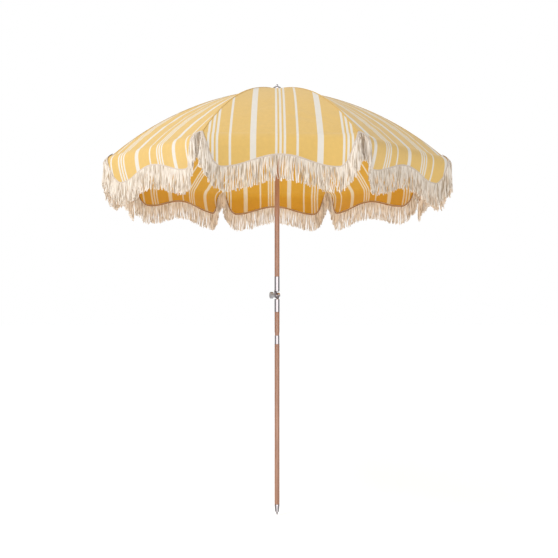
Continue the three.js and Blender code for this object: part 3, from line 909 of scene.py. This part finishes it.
class UMBRELLA_OT_pole(bpy.types.Operator):
    """Builds the turned wooden poles, the spike and the ferrule"""

    bl_idname = "umbrella.pole"
    bl_label = "Pole"

    def execute(self, context):
        for node in LENGTHS:
            name = node + "_turned"
            piece = place(name, lathe(name, self.profile(node)), BODY_OF[node],
                          "wood_pole", MATERIALS["wood"])
            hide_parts(node)
        for node in ("ground_spike", "ferrule_socket", "ferrule_spigot"):
            refined(node, 0.3 * MM, STEEL)
        return {"FINISHED"}

    def profile(self, node):
        """(radius, height) pairs of a wooden length, its edges rounded over."""
        below, above, tail, head = LENGTHS[node]
        bottom, top = (corner.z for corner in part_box(node))
        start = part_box(below)[1].z + JOIN_GAP
        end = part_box(above)[0].z - JOIN_GAP
        radius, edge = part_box("pole_lower")[1].x, WOOD_EDGE
        rounded = [(radius - edge, 0.0), (radius - edge * 0.3, edge * 0.3), (radius, edge)]
        pairs = [(0.0, bottom), (tail, bottom), (tail, start)]
        if node == "pole_middle":
            neck = radius - TAPER_IN
            pairs += [(neck - edge / 2, start), (neck, start + edge / 2)]
            for k in range(2, 7):
                cut = TAPER_IN * math.cos(math.pi * k / 12)
                pairs.append((radius - cut, start + TAPER * k / 6))
        else:
            pairs += [(r, start + z) for r, z in rounded]
        pairs += [(r, end - z) for r, z in reversed(rounded)]
        pairs += [(head, end), (head, top), (0.0, top)]
        return pairs


class Fittings:
    """Finishes a group of fittings: each one's node, bevel in millimetres and finish."""

    def execute(self, context):
        for node, bevel, finish in self.fittings:
            refined(node, bevel * MM, finish)
        return {"FINISHED"}


class UMBRELLA_OT_knuckle(Fittings, bpy.types.Operator):
    """Builds the tilting knuckle with its bolt and clamping knob"""

    bl_idname = "umbrella.knuckle"
    bl_label = "Knuckle"
    fittings = (("tilt_base", 0.8, STEEL), ("tilt_head", 0.8, STEEL),
                ("tilt_pin", 0.5, STEEL), ("tilt_knob", 0.9, GREY))


class UMBRELLA_OT_crown(Fittings, bpy.types.Operator):
    """Builds the crown hub, its cap and the finial"""

    bl_idname = "umbrella.crown"
    bl_label = "Crown"
    fittings = (("crown_hub", 0.6, NYLON), ("crown_cap", 0.7, STEEL), ("finial", 0.5, STEEL))


class UMBRELLA_OT_runner(Fittings, bpy.types.Operator):
    """Builds the runner and its push button"""

    bl_idname = "umbrella.runner"
    bl_label = "Runner"
    fittings = (("runner", 0.6, NYLON), ("runner_button", 0.8, STEEL))


RIB_DEPTH = 7 * MM  # from the cloth down to a rib's middle
RIB_RADIUS = 2.6 * MM
CURVE_START = 80 * MM  # distance from the pole's axis where a rib starts to follow the cloth
CURVE_STEPS = 40
EYE_RADIUS = 4.6 * MM
EYE_WIDTH = 4 * MM
BRACKET_RADIUS = 420 * MM  # distance from the pole's axis to a rib's bracket
BRACKET_SIZE = (16 * MM, 7 * MM, 11 * MM)
TIP_BALL = 4 * MM
METAL, BALL = 1, 2  # places of the eye's and bracket's material, and the tip's, after the rod's


def paint(made, index):
    """Gives the faces that an operation has just made another of the piece's materials."""
    for vert in made["verts"]:
        for face in vert.link_faces:
            face.material_index = index


class UMBRELLA_OT_ribs(bpy.types.Operator):
    """Builds the eight ribs with their eyes, brackets and tips, and the stretchers"""

    bl_idname = "umbrella.ribs"
    bl_label = "Ribs"

    def execute(self, context):
        canopy = context.scene.umbrella_canopy
        for number, heading in around(HALF_GORE):
            looks = [MATERIALS[key] for key in ("rod", "steel", "nylon")]
            piece = place(f"rib_{number}_rod", self.rod(canopy, heading), f"rib_{number}",
                          "white_fibreglass", *looks)
            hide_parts(f"rib_{number}")
            refined(f"stretcher_{number}", 0.0, STEEL)
        return {"FINISHED"}

    def rod(self, canopy, heading):
        shape = bmesh.new()
        pivot_radius, pivot_height = CROWN_PIVOT.xy.length, CROWN_PIVOT.z
        first = slope_at(canopy, CURVE_START, RIB_DEPTH)
        last = canopy.tip_slope - math.radians(0.25)
        path = [Vector((pivot_radius + 1 * MM, 0.0, pivot_height)),
                Vector((pivot_radius + 28 * MM, 0.0, pivot_height - 1.6 * MM))]
        for k in range(CURVE_STEPS + 1):
            r, z = arc_point(canopy, first + (last - first) * k / CURVE_STEPS, RIB_DEPTH)
            path.append(Vector((r, 0.0, z)))
        side = Vector((0.0, 1.0, 0.0))
        sweep(shape, path, [side] * len(path), circle(RIB_RADIUS, 12))
        eye = Matrix.Translation((pivot_radius, 0.0, pivot_height))
        eye = eye @ Matrix.Rotation(math.pi / 2, 4, "X")
        made = bmesh.ops.create_cone(shape, cap_ends=True, segments=20, radius1=EYE_RADIUS,
                                     radius2=EYE_RADIUS, depth=EYE_WIDTH, matrix=eye)
        paint(made, METAL)
        slope = slope_at(canopy, BRACKET_RADIUS, RIB_DEPTH + 5 * MM)
        r, z = arc_point(canopy, slope, RIB_DEPTH + 2.5 * MM)
        saddle = Matrix.Translation((r, 0.0, z)) @ Matrix.Rotation(slope, 4, "Y")
        saddle = saddle @ Matrix.Diagonal((*BRACKET_SIZE, 1.0))
        made = bmesh.ops.create_cube(shape, size=1.0, matrix=saddle)
        paint(made, METAL)
        edges = list(dict.fromkeys(e for v in made["verts"] for e in v.link_edges))
        bmesh.ops.bevel(
            shape, geom=edges, offset=1.2 * MM, segments=2, affect="EDGES", material=METAL)
        tip = Matrix.Translation(path[-1])
        made = bmesh.ops.create_uvsphere(
            shape, u_segments=16, v_segments=10, radius=TIP_BALL, matrix=tip)
        paint(made, BALL)
        mesh = swung("rib_rod", shape, heading)
        mesh.set_sharp_from_angle(angle=math.radians(40))
        return mesh


SEAM_START = 26 * MM  # distance from the pole's axis
SEAM_STEPS = 70
STITCH_ASIDE = 3.6 * MM
BRAID_TALL = 6 * MM  # half its height
BRAID_THICK = 1.2 * MM


def fold(piece):
    """Gives the piece a mesh of its own; it does not draw the cloth in sideways, towards the gore's middle, as the
    runner comes down.
    """
    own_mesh(piece)


class UMBRELLA_OT_canopy(bpy.types.Operator):
    """Builds the eight gores of striped canvas and the seams that join them"""

    bl_idname = "umbrella.canopy"
    bl_label = "Canopy"

    def execute(self, context):
        canopy = context.scene.umbrella_canopy
        valance = context.scene.umbrella_valance
        stitches = stitch_tree(MATERIALS["seam"])
        for number, heading in around():
            rows = cloth_rows(canopy, valance, number, heading)[:ALONG + 1]
            name = f"gore_{number}_cloth"
            piece = place(name, shell(name, rows, canopy.cloth), f"gore_{number}",
                          "striped_canvas", MATERIALS["outside"], MATERIALS["inside"])
            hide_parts(f"gore_{number}")
            flat_size(rows)
            fold(piece)
            self.seam(canopy, stitches, number, heading + HALF_GORE)
        return {"FINISHED"}

    def seam(self, canopy, stitches, number, heading):
        """A felled seam over the rib, its cloth lying on both gores, with two rows of stitches."""
        first = slope_at(canopy, SEAM_START)
        last = canopy.tip_slope - math.radians(0.1)
        shape = bmesh.new()
        points, ups = [], []
        for k in range(SEAM_STEPS + 1):
            slope = first + (last - first) * k / SEAM_STEPS
            r, z = arc_point(canopy, slope, -0.9 * MM)
            points.append(turn((r, 0.0, z), heading))
            ups.append(turn((math.sin(slope), 0.0, math.cos(slope)), heading))
        profile = [(-1.1 * MM, -5.5 * MM), (0.0, -5 * MM), (0.55 * MM, 0.0), (0.0, 5 * MM),
                   (-1.1 * MM, 5.5 * MM), (-0.3 * MM, 0.0)]
        sweep(shape, points, ups, profile)
        bmesh.ops.recalc_face_normals(shape, faces=shape.faces)
        name, body = f"seam_{number}", f"rib_{number}"
        place(name, mesh_of(name, shape), body, "striped_canvas", MATERIALS["seam"])
        rows = []
        for offset in (-STITCH_ASIDE, STITCH_ASIDE):
            aside = Vector(sideways(heading)) * offset
            rows.append([p + aside + up * 0.25 * MM for p, up in zip(points, ups)])
        grown(line_mesh("stitch_lines", *rows), stitches, {"Seed": number}, name + "_stitches",
              body, "striped_canvas", MATERIALS["seam"])


class UMBRELLA_OT_valances(bpy.types.Operator):
    """Builds the scalloped flaps with their fringe and its plaited heading"""

    bl_idname = "umbrella.valances"
    bl_label = "Valances"

    def execute(self, context):
        canopy = context.scene.umbrella_canopy
        valance = context.scene.umbrella_valance
        cords = fringe_tree(MATERIALS["cord"])
        for number, heading in around():
            body = f"valance_{number}"
            rows = cloth_rows(canopy, valance, number, heading)[ALONG:]
            flap = place(f"{body}_cloth", shell(f"{body}_cloth", rows, canopy.cloth), body,
                         "striped_canvas", MATERIALS["outside"], MATERIALS["inside"])
            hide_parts(body)
            hem = place(f"{body}_hem", self.hem(valance, number, heading), body,
                        "striped_canvas", MATERIALS["hem"])
            braid = place(f"fringe_{number}_braid", self.braid(valance, number, heading), body,
                          "cotton_fringe", MATERIALS["braid"])
            paths = [edge_path(valance, number, CORDS_OUT)]
            for spread in SLIT_SPREADS:
                wider = edge_path(valance, number, CORDS_OUT, spread=spread)
                paths += [wider[:SIDE_STEPS], wider[-SIDE_STEPS:]]
            lines = [[turn(p, heading) for p in path] for path in paths]
            values = {"Pitch": valance.pitch, "Length": valance.fringe,
                      "Radius": valance.cord, "Sway": SWAY, "Seed": number}
            hanging = grown(line_mesh("fringe_lines", *lines), cords, values,
                            f"fringe_{number}_cords", body, "cotton_fringe", MATERIALS["cord"])
            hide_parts(f"fringe_{number}")
            flat_size(rows)
            for piece in (flap, hem, braid, hanging):
                fold(piece)
        return {"FINISHED"}

    def hem(self, valance, number, heading):
        """The folded hem, sewn round the inside of the flap's edge; its dark brown is painted shade along the
        edge.
        """
        path = edge_path(valance, number, -0.6 * MM, step=6 * MM)[1:-1]
        shape = bmesh.new()
        profile = [(0.0, -2.5 * MM), (0.0, 2.5 * MM), (-1.4 * MM, 2 * MM), (-1.4 * MM, -2 * MM)]
        raised = [p + Vector((0.0, 0.0, 2 * MM)) for p in path]
        sweep(shape, raised, [Vector((1.0, 0.0, 0.0))] * len(path), profile)
        return swung(f"valance_{number}_hem", shape, heading)

    def braid(self, valance, number, heading):
        """The plaited heading, sewn over the flap's edge, as a thick flat band."""
        path = edge_path(valance, number, 1.6 * MM, step=5 * MM)
        outwards = Vector((1.0, 0.0, 0.0))
        shape = bmesh.new()
        uv_layer = shape.loops.layers.uv.new("braid")
        shares = ((-0.5, -1.0), (0.6, -0.8), (1.0, -0.3), (1.0, 0.3), (0.6, 0.8), (-0.5, 1.0),
                  (-1.0, 0.0))
        profile = [(a * BRAID_THICK, b * BRAID_TALL) for a, b in shares]
        middle = [p + Vector((0.0, 0.0, 3 * MM)) for p in path]
        rings = sweep(shape, middle, [outwards] * len(middle), profile)
        travelled, at = 0.0, {}
        for k, ring in enumerate(rings):
            if k:
                travelled += (middle[k] - middle[k - 1]).length
            for vert, (_, across) in zip(ring, profile):
                at[vert] = (travelled, across)
        for face in shape.faces:
            for loop in face.loops:
                loop[uv_layer].uv = at[loop.vert]
        return swung(f"fringe_{number}_braid", shape, heading)


class UMBRELLA_PT_panel(bpy.types.Panel):
    """Lists the umbrella's settings and its operators"""

    bl_idname = "UMBRELLA_PT_panel"
    bl_label = "Beach Umbrella"
    bl_space_type = "VIEW_3D"
    bl_region_type = "UI"
    bl_category = "Umbrella"

    def draw(self, context):
        for name in ("umbrella_canopy", "umbrella_valance", "umbrella_colours"):
            settings = getattr(context.scene, name)
            box = self.layout.box()
            for key in settings.__annotations__:
                box.prop(settings, key)
        for operator in OPERATORS:
            self.layout.operator(operator.bl_idname)


SETTINGS = {
    "umbrella_canopy": CanopySettings,
    "umbrella_valance": ValanceSettings,
    "umbrella_colours": ColourSettings,
}
OPERATORS = (UMBRELLA_OT_stage, UMBRELLA_OT_pole, UMBRELLA_OT_knuckle, UMBRELLA_OT_crown,
             UMBRELLA_OT_runner, UMBRELLA_OT_ribs, UMBRELLA_OT_canopy, UMBRELLA_OT_valances)


def register():
    for made in (*SETTINGS.values(), *OPERATORS, UMBRELLA_PT_panel):
        bpy.utils.register_class(made)
    for name, made in SETTINGS.items():
        setattr(bpy.types.Scene, name, bpy.props.PointerProperty(type=made))


def unregister():
    for name in SETTINGS:
        delattr(bpy.types.Scene, name)
    for made in reversed((*SETTINGS.values(), *OPERATORS, UMBRELLA_PT_panel)):
        bpy.utils.unregister_class(made)


def main():
    register()
    make_materials()
    bpy.ops.umbrella.stage()
    bpy.ops.umbrella.pole()
    bpy.ops.umbrella.knuckle()
    bpy.ops.umbrella.crown()
    bpy.ops.umbrella.runner()
    bpy.ops.umbrella.ribs()
    bpy.ops.umbrella.canopy()
    bpy.ops.umbrella.valances()


if __name__ == "__main__":
    main()
